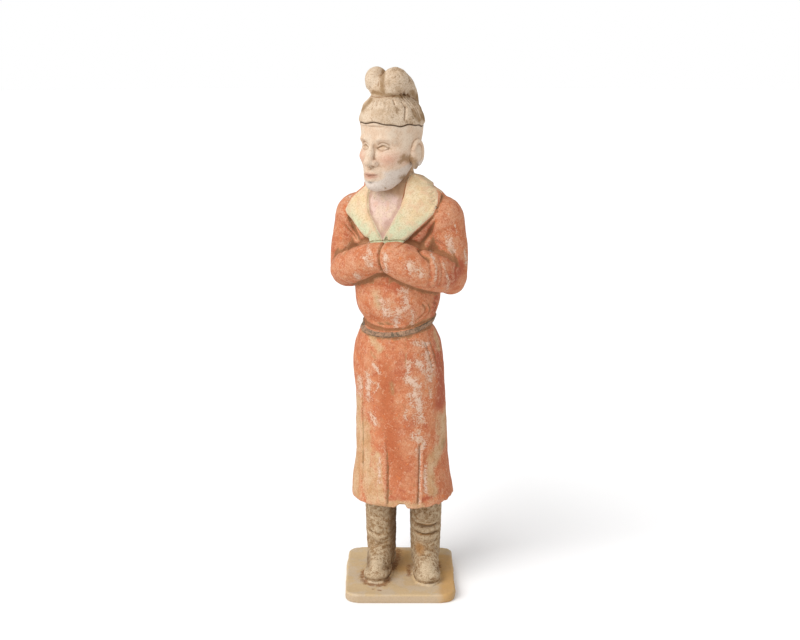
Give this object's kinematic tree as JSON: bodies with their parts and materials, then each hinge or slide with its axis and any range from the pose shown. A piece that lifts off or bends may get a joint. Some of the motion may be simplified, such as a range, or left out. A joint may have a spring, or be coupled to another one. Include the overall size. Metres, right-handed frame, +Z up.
{
  "type": "pottery attendant figure",
  "caption": "Standing painted pottery attendant in a belted coat and boots, hands joined in the sleeves, a knotted cap on the turned head, on a thin slab plinth.",
  "frame": {"origin": "middle of the plinth's underside, on the surface it stands on", "axes": "+Z up along the figure; the plinth's front edge faces -Y, and the figure's left is +X"},
  "size_m": [0.1292, 0.1141, 0.5031],
  "materials": {
    "painted_pottery": "matt low-fired clay with worn cold-painted pigment: orange-red coat, cream and pale green lapels, buff plinth, brown boots"
  },
  "bodies": {
    "root": {"attendant_figure": "painted_pottery"}
  },
  "joints": []
}
